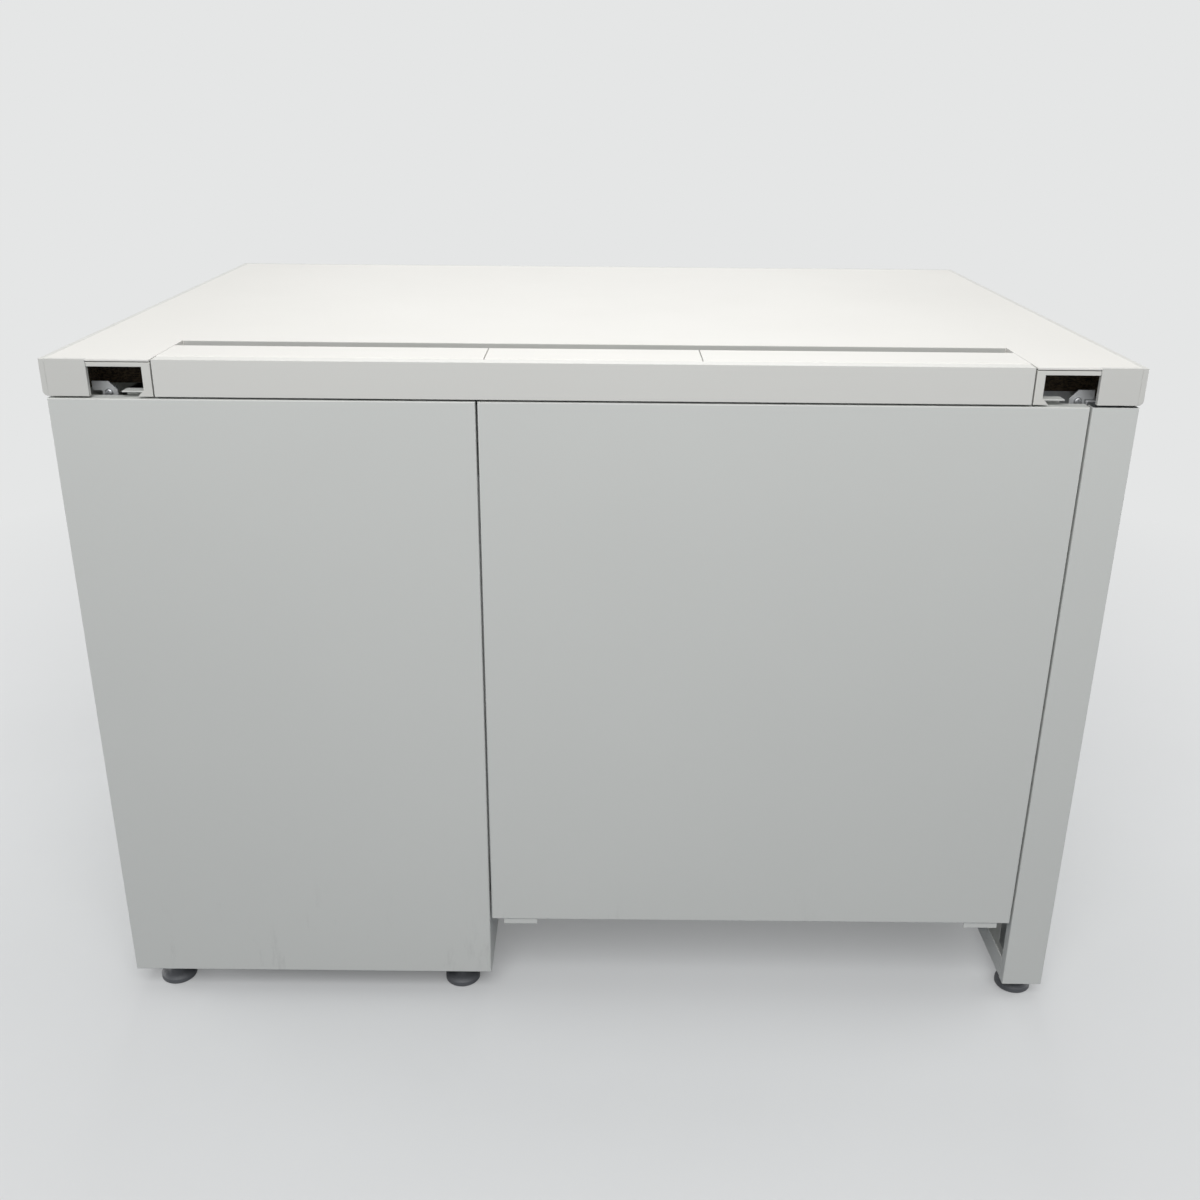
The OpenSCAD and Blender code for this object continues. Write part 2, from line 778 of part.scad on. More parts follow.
module centre_drawer_runners() {
    color(zinc) for (side = [-1, 1]) on_side(side, knee_mid)
        inner_member(knee_x1 - hanger_in, centre_runner_z, centre_runner_h, runner_y, centre_runner_l, 1);
}

// ---------- drawers ----------

// Box of folded sheets: two hemmed sides, a floor on their lips, a back and an inner front
module drawer_box(x0, w, z, h, depth) {
    t = box_sheet;
    in = t + seam_w;
    rear = box_y + depth;
    for (side = [-1, 1]) on_side(side, x0 + w / 2) translate([x0, 0, z])
        along_y(box_y + in, rear - in)
            folded([[box_lip, 0], [0, 0], [0, h], [hem_w, h], [hem_w, h - hem_h]], -t);
    block([x0 + in, box_y + in, z + in], [x0 + w - in, rear - in, z + in + t]);
    block([x0 + t, rear - t, z], [x0 + w - t, rear, z + h - back_drop]);
}

// Sheet that closes the box behind its front
module inner_front(x0, w, z, h)
    block([x0 + box_sheet, box_y, z], [x0 + w - box_sheet, box_y + box_sheet, z + h]);

// Pedestal drawer's box with its lock stud on the right side
module pedestal_box(z, top) {
    color(zinc) {
        drawer_box(box_x0, box_w, z, top - z, box_d);
        inner_front(box_x0, box_w, z, top - z);
        rod_x(stud_y, stud_height(top), stud_r, box_x0 + box_w + seam_w, box_x0 + box_w + stud_l);
    }
}

module bottom_drawer_box() pedestal_box(low_z + low_rise, box_tops[0]);
module middle_drawer_box() pedestal_box(mid_z + mid_rise, box_tops[1]);
module top_drawer_box() pedestal_box(high_z + high_rise, box_tops[2]);

module drawer_front(z, h)
    color(steel_white) front_pan(front_x0, front_x0 + front_w, z, z + h - pull_h, front_t,
        box_x0 - front_x0 + grip);

module bottom_drawer_front() drawer_front(low_z, low_front_h);
module middle_drawer_front() drawer_front(mid_z, mid_front_h);
module top_drawer_front() drawer_front(high_z, high_front_h);

// Scoop behind a pull's lip, and the rebate that the lip sits in, in the YZ plane
module pull_hollow() {
    deep = front_t - pull_wall;
    mouth_d = 3.5;
    r = deep - mouth_d;
    difference() {
        translate([-1, pull_wall]) square([deep + 1, pull_h - 2 * pull_wall]);
        difference() {
            translate([deep - r, 0]) square([r + 1, pull_wall + r]);
            translate([deep - r, pull_wall + r]) circle(r, $fn = 64);
        }
    }
    translate([-1, pull_h - lip_drop - seam_w])
        square([pull_wall + seam_w + 1, lip_drop + seam_w + 1]);
}

// Moulded strip along a front's edge, closed at both ends, with a scoop for the fingers behind a lip
module pull(x0, x1) {
    cap = 3;
    color(plastic_white) translate([0, front_face, 0]) {
        difference() {
            along_x(x0, x1) square([front_t, pull_h]);
            along_x(x0 + cap, x1 - cap) pull_hollow();
        }
        along_x(x0 + cap + seam_w, x1 - cap - seam_w)
            translate([0, pull_h - lip_drop]) square([pull_wall, lip_drop]);
    }
}

module drawer_pull(z, h) translate([0, 0, z + h - pull_h]) pull(front_x0, front_x0 + front_w);

module bottom_drawer_pull() drawer_pull(low_z, low_front_h);
module middle_drawer_pull() drawer_pull(mid_z, mid_front_h);
module top_drawer_pull() drawer_pull(high_z, high_front_h);

// ---------- centre drawer ----------

module centre_drawer_box() {
    x0 = centre_box_x0;
    w = centre_box_x1 - centre_box_x0;
    color(zinc) {
        drawer_box(x0, w, centre_box_z, centre_box_h, centre_box_d);
        difference() {
            inner_front(x0, w, centre_box_z, centre_box_h);
            rod_y(centre_lock_x, centre_lock_z, plug_r + fit, box_y - 1, box_y + box_sheet + 1);
        }
    }
}

module centre_drawer_front() {
    color(steel_white) difference() {
        front_pan(knee_x0, knee_x1, centre_front_z + pull_h, case_top, front_t,
            centre_box_x0 - knee_x0 + grip);
        rod_y(centre_lock_x, centre_lock_z, plug_r + fit, front_face - 1, front_face + sheet + 1);
    }
}

// The centre drawer is gripped from below, so its pull is upside down
module centre_drawer_pull() {
    translate([0, 0, centre_front_z + pull_h]) mirror([0, 0, 1]) pull(knee_x0, knee_x1);
}

// Folded hangers under the worktop that carry the centre drawer
module centre_hangers() {
    x = knee_x1 - hanger_in;
    below = 4;
    color(zinc) for (side = [-1, 1]) on_side(side, knee_mid) along_y(runner_y, runner_y + centre_runner_l)
        folded([[x, centre_runner_z - below], [x, under_z], [knee_x1, under_z]], -hanger_sheet);
}

// Channel under the worktop's front edge. The centre drawer's cam rises into it
module knee_rail() {
    rail_h = 9;
    rail_d = 22;
    z0 = case_top - rail_h;
    y1 = rail_y + rail_d;
    color(zinc) along_x(knee_x0 + hanger_in + seat, knee_x1 - hanger_in - seat)
        folded([[rail_y, z0], [rail_y, under_z], [y1, under_z], [y1, z0]], -duct_sheet);
}

module centre_lock() {
    cam_inset = 6;
    cam_y = rail_y + cam_inset;
    cam_w = 8;
    boss_w = 1.5;
    cam_l = centre_lock_drop - 2;
    color(zinc) difference() {
        union() {
            rod_y(centre_lock_x, centre_lock_z, plug_r + flange_w, front_face - flange_t, front_face);
            rod_y(centre_lock_x, centre_lock_z, plug_r, front_face - 1, cam_y + 1);
            translate([centre_lock_x, cam_y, centre_lock_z]) rotate([-90, 0, 0]) linear_extrude(cam_t)
                union() {
                    circle(plug_r + boss_w, $fn = 48);
                    translate([-cam_l, -cam_w / 2]) square([cam_l, cam_w]);
                }
        }
        key_slot(centre_lock_x, centre_lock_z);
    }
}

// Slot for the key in a plug
module key_slot(x, z) {
    key_t = 1.6;
    key_w = 8;
    depth = 8;
    block([x - key_t / 2, front_face - 3, z - key_w / 2], [x + key_t / 2, front_face + depth, z + key_w / 2]);
}

// ---------- pedestal lock ----------

module lock_housing() {
    back = front_face + housing_l;
    color(zinc) difference() {
        union() {
            rod_y(lock_x, lock_z, housing_r, front_face, back);
            rod_y(lock_x, lock_z, housing_r + flange_w, front_face - flange_t, front_face);
        }
        rod_y(lock_x, lock_z, plug_r + fit, front_face - 3, back + 1);
    }
}

// Plug with the crank whose pin lifts the lock bar
module lock_plug() {
    disc_y = front_face + housing_l + slack;
    color(zinc) difference() {
        union() {
            rod_y(lock_x, lock_z, plug_r, front_face - 2, disc_y);
            rod_y(lock_x, lock_z, crank_r + crank_pin_r + 1, disc_y, disc_y + cam_t);
            rod_y(lock_x + crank_out, lock_z - crank_out, crank_pin_r, disc_y, bar_y + bar_t + slack);
        }
        key_slot(lock_x, lock_z);
    }
}

// Bar that the crank lifts, with a hook below each drawer's stud
module lock_bar() {
    slot_x0 = lock_x + crank_out - crank_pin_r - slack;
    slot_x1 = lock_x + crank_r + crank_pin_r + slack;
    slot_z = lock_z - crank_out;
    slot_gap = 0.4;
    slot_h = crank_pin_r + slot_gap;
    head_past = 6;
    hook_x = box_x0 + box_w + hook_gap;
    tail_z = hook_top(box_tops[0]) - hook_h - bar_tail;
    color(zinc) along_y(bar_y, bar_y + bar_t) difference() {
        union() {
            translate([bar_x, tail_z]) square([bar_w, slot_z + head_h / 2 - tail_z]);
            translate([lock_x - head_past, slot_z - head_h / 2])
                square([bar_x + bar_w - lock_x + head_past, head_h]);
            for (top = box_tops) translate([hook_x, hook_top(top) - hook_h])
                square([bar_x + 1 - hook_x, hook_h]);
        }
        translate([slot_x0, slot_z - slot_h]) square([slot_x1 - slot_x0, 2 * slot_h]);
    }
}

// ---------- leg and modesty panel ----------

// Folded skin of the leg, open towards the knee space
module leg_panel() {
    color(steel_white) translate([0, 0, leg_z]) linear_extrude(case_top - leg_z)
        folded([[leg_in, rear_y - leg_lip], [leg_in, rear_y], [leg_out, rear_y], [leg_out, front_face],
            [leg_in, front_face], [leg_in, front_face + leg_lip]], sheet);
}

// Channels inside the leg that carry the top bracket on the foot channel
module leg_posts() {
    z0 = leg_z + base_sheet + seat;
    z1 = under_z - base_sheet - seat;
    color(zinc) for (y = [leg_feet[0][1] + post_to_foot, leg_rear_post_y])
        translate([0, 0, z0]) linear_extrude(z1 - z0)
            folded([[leg_post_x0, y], [leg_post_x1, y], [leg_post_x1, y + leg_post_w],
                [leg_post_x0, y + leg_post_w]], base_sheet);
}

module leg_channel() {
    x0 = leg_out + sheet + seat;
    z1 = leg_z + leg_channel_h;
    color(steel_white) difference() {
        along_y(front_face + leg_lip + sheet, rear_y - leg_lip - sheet)
            folded([[x0, z1], [x0, leg_z], [leg_in, leg_z], [leg_in, z1]], base_sheet);
        for (at = leg_feet) translate([at[0], at[1], leg_z - 1])
            cylinder(r = stem_dia / 2 + 1, h = base_sheet + 2, $fn = 32);
    }
}

module leg_top_bracket() {
    x0 = leg_out + sheet + seat;
    flange_drop = 15;
    end_inset = 20;
    z0 = under_z - frame_h - flange_drop;
    color(zinc) along_y(front_face + end_inset, rear_y - end_inset)
        folded([[x0, z0], [x0, under_z], [leg_in - 1, under_z], [leg_in - 1, z0]], -base_sheet);
}

module modesty_panel() {
    x0 = leg_in + seam;
    x1 = ped_in - seam;
    color(steel_white) difference() {
        rear_pan(x0, x1, modesty_z, case_top, pan_d);
        for (side = [-1, 1]) on_side(side, panel_mid)
            block([ped_in - tab_in - tab_w - 1, tab_y - tab_t - 1, modesty_z - 1],
                [ped_in - tab_in + 1, rear_y - sheet, modesty_z + sheet + 1]);
    }
}

// Brackets that carry the modesty panel on the pedestal and on the leg's rear post
module modesty_brackets() {
    color(steel_white) {
        on_side(1, panel_mid) modesty_bracket(ped_in - seat);
        on_side(-1, panel_mid) modesty_bracket(ped_in + leg_in - leg_post_x1 - seat);
    }
}

// One bracket: a tab behind the panel's lower edge, an arm, and a flange at side_x
module modesty_bracket(side_x) {
    arm_y = leg_rear_post_y + leg_post_w;
    x0 = ped_in - tab_in - tab_w;
    x1 = ped_in - tab_in;
    x2 = x1 + tab_t + 1;
    translate([0, 0, modesty_z + tab_rise]) linear_extrude(tab_h)
        folded([[x0, tab_y], [x2, tab_y], [x2, arm_y], [side_x, arm_y], [side_x, arm_y - tab_flange]],
            -tab_t);
    block([x0, tab_y - tab_t, modesty_z - tab_drop], [x1, tab_y, modesty_z + tab_rise + 1]);
}

// ---------- feet ----------

// Weld nuts: above the leg's channel, and below the pedestal's floor
module foot_nuts() {
    color(zinc) {
        for (at = leg_feet) translate([at[0], at[1], leg_z + base_sheet]) weld_nut();
        for (at = ped_feet) translate([at[0], at[1], floor_z - nut_h]) weld_nut();
    }
}

module weld_nut()
    difference() {
        cylinder(d = nut_af / cos(30), h = nut_h, $fn = 6);
        translate([0, 0, -1]) cylinder(r = stem_dia / 2 + fit, h = nut_h + 2, $fn = 48);
    }

// Levelling foot: moulded base with a threaded stem
module foot(at) {
    edge = 1.5;
    slope = 3;
    neck = 4;
    translate([at[0], at[1], 0]) {
        color(dark) rotate_extrude($fn = 64)
            polygon([[0, 0], [foot_r - edge, 0], [foot_r, edge], [foot_r, pad_h - slope],
                [foot_r - slope, pad_h], [hub_r + slope, pad_h + 1], [hub_r, pad_h + neck], [hub_r, hub_h],
                [0, hub_h]]);
        color(zinc) translate([0, 0, hub_h]) cylinder(d = stem_dia, h = stem_top - hub_h, $fn = 48);
    }
}

module foot_leg_front() foot(leg_feet[0]);
module foot_leg_rear() foot(leg_feet[1]);
module foot_ped_front_left() foot(ped_feet[0]);
module foot_ped_front_right() foot(ped_feet[1]);
module foot_ped_rear_left() foot(ped_feet[2]);
module foot_ped_rear_right() foot(ped_feet[3]);

worktop_board();
front_edge_band();
side_edge_bands();
rear_edge_bands();
slot_trim();
fascia_rail();
corner_bezels();
corner_brackets();
cable_duct();
hinge_blocks();
hinge_pins();
left_flap();
middle_flap();
right_flap();
pedestal_right_side();
pedestal_left_side();
pedestal_back();
pedestal_base();
pedestal_top_frame();
lock_rail();
runner_posts();
fixed_runners();
lock_housing();
lock_plug();
lock_bar();
top_drawer_box();
top_drawer_front();
top_drawer_pull();
top_drawer_runners();
top_mid_members();
middle_drawer_box();
middle_drawer_front();
middle_drawer_pull();
middle_drawer_runners();
middle_mid_members();
bottom_drawer_box();
bottom_drawer_front();
bottom_drawer_pull();
bottom_drawer_runners();
bottom_mid_members();
centre_drawer_box();
centre_drawer_front();
centre_drawer_pull();
centre_drawer_runners();
centre_hangers();
centre_lock();
knee_rail();
leg_panel();
leg_posts();
leg_channel();
leg_top_bracket();
modesty_panel();
modesty_brackets();
foot_nuts();
foot_leg_front();
foot_leg_rear();
foot_ped_front_left();
foot_ped_front_right();
foot_ped_rear_left();
foot_ped_rear_right();
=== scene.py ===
import json
from math import cos, pi, radians, sin, tau

import bpy
from mathutils import Euler, Matrix, Vector


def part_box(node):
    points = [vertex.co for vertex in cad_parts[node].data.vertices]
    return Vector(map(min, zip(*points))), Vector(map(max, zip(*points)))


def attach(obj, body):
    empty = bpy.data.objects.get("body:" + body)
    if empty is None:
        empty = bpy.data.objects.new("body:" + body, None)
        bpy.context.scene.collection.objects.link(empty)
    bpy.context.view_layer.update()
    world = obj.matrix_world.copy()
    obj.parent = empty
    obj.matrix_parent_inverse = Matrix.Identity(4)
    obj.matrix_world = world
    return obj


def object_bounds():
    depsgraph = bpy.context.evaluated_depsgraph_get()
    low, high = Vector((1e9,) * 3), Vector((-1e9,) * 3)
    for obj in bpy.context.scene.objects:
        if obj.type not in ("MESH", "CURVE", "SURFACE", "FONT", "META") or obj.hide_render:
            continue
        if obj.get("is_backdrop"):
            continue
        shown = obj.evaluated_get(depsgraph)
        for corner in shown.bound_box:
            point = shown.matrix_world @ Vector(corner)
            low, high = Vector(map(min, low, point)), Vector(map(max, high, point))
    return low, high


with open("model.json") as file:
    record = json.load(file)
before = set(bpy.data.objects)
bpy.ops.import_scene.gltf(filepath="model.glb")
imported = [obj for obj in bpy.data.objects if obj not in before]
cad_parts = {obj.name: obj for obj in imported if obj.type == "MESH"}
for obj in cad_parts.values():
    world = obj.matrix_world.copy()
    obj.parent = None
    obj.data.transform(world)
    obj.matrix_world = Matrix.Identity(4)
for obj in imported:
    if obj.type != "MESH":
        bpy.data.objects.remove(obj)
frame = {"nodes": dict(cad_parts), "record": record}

NODES = frame["nodes"]
SLOT_OF = {s["node"]: s["material_slot"] for s in frame["record"]["subparts"]}
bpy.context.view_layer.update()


# ---------------------------------------------------------------- colours, and sizes in metres

def srgb(r, g, b):
    """A colour given as 0-255 screen values, as the linear RGBA that Blender wants."""
    def linear(c):
        c /= 255
        return c / 12.92 if c <= 0.04045 else ((c + 0.055) / 1.055) ** 2.4
    return (linear(r), linear(g), linear(b), 1)


def shade(colour, by):
    """The same colour, darker or lighter by a factor."""
    return tuple(c * by for c in colour[:3]) + (1,)


LAMINATE, BAND = srgb(238, 237, 233), srgb(219, 219, 215)
# The chipboard colours are darker than raw chipboard: painted shade for the pockets' sawn faces.
CHIP_AND_PAINTED_SHADE_DARK, CHIP_AND_PAINTED_SHADE_PALE = srgb(70, 62, 54), srgb(112, 98, 80)
BACKING_DARK, BACKING_PALE = srgb(198, 197, 191), srgb(212, 211, 206)
# The rail's coat is the panel coat made paler: painted light on the fascia rail, which stands in more
# light than the panels.
PANEL_COAT, RAIL_COAT_PAINTED_LIGHT = srgb(220, 222, 219), srgb(227, 227, 223)
# The sheet zinc is paler than the zinc partly as painted light, for the brackets in the dark pockets.
ZINC, SHEET_ZINC_AND_PAINTED_LIGHT, BRIGHT_ZINC = srgb(188, 190, 193), srgb(198, 200, 202), srgb(204, 205, 207)
WHITE_PLASTIC, GREY_PLASTIC = srgb(226, 226, 221), srgb(190, 191, 188)
FOOT_PAD, FOOT_DUST, FOOT_STEEL = srgb(92, 94, 98), srgb(122, 122, 120), srgb(172, 174, 176)
FLOOR, BOUNCE, BACKGROUND = srgb(212, 214, 216), srgb(74, 82, 94), srgb(229, 230, 230)
SOFT_WHITE = (1.0, 0.995, 0.985)

EDGE_SAMPLES = 4                        # samples of the mask that finds the edges
POCKET_X, POCKET_Y = 0.402, 0.349       # the corner pockets' sawn faces: beyond this x, short of this y
STEM_Z, THREAD_PITCH = 0.018, 0.0015    # a foot's steel stem starts at this height
SCUFF_TOP, SCUFF_FULL = 0.16, 0.03      # shoes mark the coat below the first, most below the second
EDGE_ROUND, THIN_ROUND = 0.0003, 0.0001
FLAT, SHARP, FOLD = radians(0.5), radians(40), radians(50)      # flats join, edges round, folds stay
WELD = 1e-6
THIN = ("left_flap", "middle_flap", "right_flap")
SQUARE = ("modesty_panel", "hinge_blocks")      # small notches, which a bevel would spoil
ALONG_X, ALONG_Y, ALONG_Z = (0.04, 1.0, 1.0), (1.0, 0.04, 1.0), (1.0, 1.0, 0.04)


# ---------------------------------------------------------------- materials

class Graph:
    """A small helper that builds one material's nodes."""

    def __init__(self, name):
        self.mat = bpy.data.materials.new(name)
        self.mat.use_nodes = True
        self.tree = self.mat.node_tree
        self.tree.nodes.clear()
        self.out = self.add("ShaderNodeOutputMaterial")
        self.shader = self.add("ShaderNodeBsdfPrincipled")
        self.link(self.shader.outputs["BSDF"], self.out.inputs["Surface"])
        place = self.add("ShaderNodeTexCoord")
        self.coord, self.facing = place.outputs["Object"], place.outputs["Normal"]

    def add(self, kind, **settings):
        """A new node with these properties."""
        node = self.tree.nodes.new(kind)
        for key, value in settings.items():
            setattr(node, key, value)
        return node

    def link(self, a, b):
        self.tree.links.new(a, b)

    def put(self, value, socket):
        """Feeds a socket with a number, a colour or another node's output."""
        if isinstance(value, (int, float, tuple)):
            socket.default_value = value
        else:
            self.link(value, socket)

    def stretch(self, x, y, z, turn=0.0):
        """The object coordinates, stretched along the axes and turned about Z."""
        node = self.add("ShaderNodeMapping")
        node.inputs["Scale"].default_value = (x, y, z)
        node.inputs["Rotation"].default_value = (0, 0, turn)
        self.link(self.coord, node.inputs["Vector"])
        return node.outputs["Vector"]

    def parts(self, vector):
        """The x, y and z of a vector."""
        node = self.add("ShaderNodeSeparateXYZ")
        self.link(vector, node.inputs[0])
        return node.outputs

    def noise(self, scale, detail=2.0, rough=0.5, vector=None):
        """Noise that lies mostly between 0.3 and 0.7."""
        node = self.add("ShaderNodeTexNoise")
        node.inputs["Scale"].default_value = scale
        node.inputs["Detail"].default_value = detail
        node.inputs["Roughness"].default_value = rough
        self.link(vector or self.coord, node.inputs["Vector"])
        return node.outputs["Fac"]

    def cells(self, scale, vector=None):
        """A random number for each cell of a Voronoi pattern."""
        node = self.add("ShaderNodeTexVoronoi")
        node.inputs["Scale"].default_value = scale
        self.link(vector or self.coord, node.inputs["Vector"])
        return self.parts(node.outputs["Color"])[0]

    def ramp(self, value, low, high, low_to=0.0, high_to=1.0):
        """value, mapped from low..high to low_to..high_to and held there."""
        node = self.add("ShaderNodeMapRange")
        for socket, number in zip(("From Min", "From Max", "To Min", "To Max"),
                                  (low, high, low_to, high_to)):
            node.inputs[socket].default_value = number
        self.link(value, node.inputs["Value"])
        return node.outputs["Result"]

    def spread(self, noise, low=0.0, high=1.0):
        """A noise, stretched to low..high."""
        return self.ramp(noise, 0.3, 0.7, low, high)

    def math(self, operation, a, b=0.0):
        node = self.add("ShaderNodeMath", operation=operation)
        self.put(a, node.inputs[0])
        self.put(b, node.inputs[1])
        return node.outputs["Value"]

    def times(self, a, b):
        return self.math("MULTIPLY", a, b)

    def plus(self, a, b):
        return self.math("ADD", a, b)

    def mix(self, amount, a, b):
        """A colour from a to b; each is an RGBA or another node's colour."""
        node = self.add("ShaderNodeMix", data_type="RGBA")
        self.put(amount, node.inputs["Factor"])
        self.put(a, node.inputs[6])
        self.put(b, node.inputs[7])
        return node.outputs[2]

    def bump(self, height, distance, strength):
        """The normal of a surface with this relief, distance metres high."""
        node = self.add("ShaderNodeBump")
        node.inputs["Distance"].default_value = distance
        node.inputs["Strength"].default_value = strength
        self.link(height, node.inputs["Height"])
        return node.outputs["Normal"]

    def edges(self, radius):
        """1 along the edges of the shape, 0 on its flats."""
        rounded = self.add("ShaderNodeBevel", samples=EDGE_SAMPLES)
        rounded.inputs["Radius"].default_value = radius
        flat = self.add("ShaderNodeNewGeometry")
        lean = self.add("ShaderNodeVectorMath", operation="DOT_PRODUCT")
        self.link(rounded.outputs["Normal"], lean.inputs[0])
        self.link(flat.outputs["Normal"], lean.inputs[1])
        return self.ramp(lean.outputs["Value"], 0.995, 0.93)

    def worn(self, radius):
        """The edges, rubbed through in patches."""
        patch = self.ramp(self.noise(160.0, 4.0, 0.65), 0.42, 0.62)
        return self.times(self.edges(radius), patch)

    def finish(self, colour, roughness, normal=None, metallic=0.0, specular=0.5):
        """Sets the shader and gives back the material."""
        self.put(colour, self.shader.inputs["Base Color"])
        self.put(roughness, self.shader.inputs["Roughness"])
        self.put(metallic, self.shader.inputs["Metallic"])
        if normal:
            self.link(normal, self.shader.inputs["Normal"])
        self.shader.inputs["Specular IOR Level"].default_value = specular
        return self.mat


def laminate_top(g):
    """Colour, roughness and height of satin laminate, with faint use marks."""
    base = LAMINATE
    drift = g.noise(3.0, 3.0, 0.6)
    colour = g.mix(g.spread(drift), shade(base, 0.975), base)
    speck = g.noise(2600.0, 1.0, 0.5)
    colour = g.mix(g.ramp(speck, 0.62, 0.80, 0.0, 0.25), colour, shade(base, 0.9))
    grain = g.noise(1500.0, 2.0, 0.6)
    smear = g.noise(9.0, 4.0, 0.65)
    rough = g.plus(g.spread(smear, 0.50, 0.58), g.spread(grain, 0.0, 0.06))
    for turn in (0.5, 2.0):
        scratch = g.noise(220.0, 3.0, 0.7, g.stretch(0.02, 1.0, 1.0, turn))
        rough = g.plus(rough, g.ramp(scratch, 0.66, 0.74, 0.0, 0.10))
    worn = g.worn(0.0012)
    colour = g.mix(g.times(worn, 0.5), colour, shade(base, 0.80))
    rough = g.plus(rough, g.times(worn, 0.15))
    return colour, rough, grain


def laminate():
    """The flaps, laminated all over."""
    g = Graph("laminate")
    colour, rough, grain = laminate_top(g)
    return g.finish(colour, rough, g.bump(grain, 0.00004, 0.6), specular=0.25)


def board():
    """Laminate above, chipboard darkened with painted shade on the pockets' sawn faces, backing sheet
    below.
    """
    g = Graph("worktop_board")
    colour, rough, grain = laminate_top(g)
    up = g.parts(g.facing)[2]
    chips = g.cells(420.0, g.stretch(1.0, 1.0, 2.5))
    # Chipboard core, darkened with painted shade of the pocket.
    core = g.mix(g.ramp(chips, 0.1, 0.9), CHIP_AND_PAINTED_SHADE_DARK, CHIP_AND_PAINTED_SHADE_PALE)
    backing = g.mix(g.spread(g.noise(700.0)), BACKING_DARK, BACKING_PALE)
    colour = g.mix(g.ramp(up, -0.4, -0.6), colour, backing)
    place = g.parts(g.coord)
    pocket = g.times(g.ramp(g.math("ABSOLUTE", place[0]), POCKET_X - 0.001, POCKET_X),
                     g.ramp(place[1], POCKET_Y, POCKET_Y - 0.001))
    sawn = g.times(g.ramp(g.math("ABSOLUTE", up), 0.6, 0.4), pocket)
    colour = g.mix(sawn, colour, core)
    rough = g.plus(rough, g.times(sawn, 0.45))
    height = g.plus(grain, g.times(g.times(chips, 4.0), sawn))
    return g.finish(colour, rough, g.bump(height, 0.00004, 0.7), specular=0.25)


def edge_band():
    """Extruded plastic band, with fine lines along its run."""
    g = Graph("edge_band")
    base = BAND
    drift = g.noise(5.0, 3.0, 0.6)
    colour = g.mix(g.spread(drift), shade(base, 0.97), base)
    run = g.noise(900.0, 2.0, 0.6, g.stretch(0.03, 0.03, 1.0))
    rough = g.spread(run, 0.34, 0.46)
    worn = g.worn(0.0014)
    colour = g.mix(g.times(worn, 0.6), colour, shade(base, 0.78))
    return g.finish(colour, g.plus(rough, g.times(worn, 0.12)), g.bump(run, 0.00003, 0.6),
                    specular=0.45)


def powder_coat(name, base):
    """Fine-textured powder coat, polished and thinned where hands and feet rub."""
    g = Graph(name)
    drift = g.noise(2.2, 3.0, 0.55)
    colour = g.mix(g.spread(drift), shade(base, 0.97), base)
    peel = g.noise(620.0, 2.0, 0.5)
    dimple = g.noise(1900.0, 1.0, 0.5)
    colour = g.mix(g.ramp(dimple, 0.6, 0.8, 0.0, 0.3), colour, shade(base, 0.9))
    height = g.plus(peel, g.times(dimple, 0.4))
    rough = g.spread(peel, 0.42, 0.56)
    worn = g.worn(0.0010)
    colour = g.mix(g.times(worn, 0.55), colour, shade(base, 0.72))
    rough = g.plus(rough, g.times(worn, -0.12))
    scuff = g.noise(45.0, 5.0, 0.7, g.stretch(1.0, 1.0, 0.25))
    low = g.ramp(g.parts(g.coord)[2], SCUFF_TOP, SCUFF_FULL)
    mark = g.times(g.ramp(scuff, 0.60, 0.72), low)
    colour = g.mix(g.times(mark, 0.35), colour, shade(base, 0.7))
    return g.finish(colour, rough, g.bump(height, 0.00006, 0.7), specular=0.45)


def zinc(name, base, run, metal, low, high):
    """Plated steel, with faint spangle, haze, a brushed run along one axis, and a painted highlight
    along its edges.
    """
    g = Graph(name)
    spangle = g.cells(160.0)
    colour = g.mix(g.ramp(spangle, 0.0, 1.0, 0.0, 0.4), base, shade(base, 0.9))
    haze = g.noise(38.0, 4.0, 0.6)
    colour = g.mix(g.ramp(haze, 0.40, 0.75, 0.0, 0.3), colour, shade(base, 0.88))
    brushed = g.noise(1100.0, 2.0, 0.5, g.stretch(*run))
    rough = g.plus(g.spread(haze, low, high), g.spread(brushed, 0.0, 0.06))
    # Edges painted lighter: a painted highlight.
    edge_highlight = g.edges(0.0008)
    colour = g.mix(g.times(edge_highlight, 0.5), colour, shade(base, 1.15))
    return g.finish(colour, rough, g.bump(brushed, 0.00002, 0.4), metallic=metal)


def moulded(name, base, low, high):
    """Moulded plastic: fine spark grain, and worn edge patches that are smoother from wear and painted
    paler as a painted highlight.
    """
    g = Graph(name)
    drift = g.noise(14.0, 3.0, 0.6)
    colour = g.mix(g.spread(drift), shade(base, 0.94), base)
    grain = g.noise(1400.0, 2.0, 0.6)
    rough = g.spread(grain, low, high)
    # Worn edge patches: smoother from rubbing, and paler as a painted highlight.
    edge_highlight = g.worn(0.0010)
    colour = g.mix(g.times(edge_highlight, 0.5), colour, shade(base, 1.08))
    return g.finish(colour, g.plus(rough, g.times(edge_highlight, -0.08)), g.bump(grain, 0.00005, 0.6),
                    specular=0.45)


def levelling_foot():
    """A dark moulded pad on a threaded steel stem."""
    g = Graph("levelling_foot")
    height = g.parts(g.coord)[2]
    stem = g.ramp(height, STEM_Z - 0.0001, STEM_Z + 0.0001)
    dust = g.ramp(g.noise(90.0, 4.0, 0.7), 0.5, 0.75, 0.0, 0.35)
    rubber = g.mix(dust, FOOT_PAD, FOOT_DUST)
    colour = g.mix(stem, rubber, FOOT_STEEL)
    grain = g.noise(900.0, 2.0, 0.6)
    thread = g.math("SINE", g.times(height, tau / THREAD_PITCH))
    shape = g.mix(stem, grain, thread)
    rough = g.plus(g.spread(grain, 0.48, 0.60), g.times(stem, -0.18))
    normal = g.bump(shape, 0.00012, 0.7)
    return g.finish(colour, rough, normal, metallic=g.times(stem, 0.85), specular=0.4)


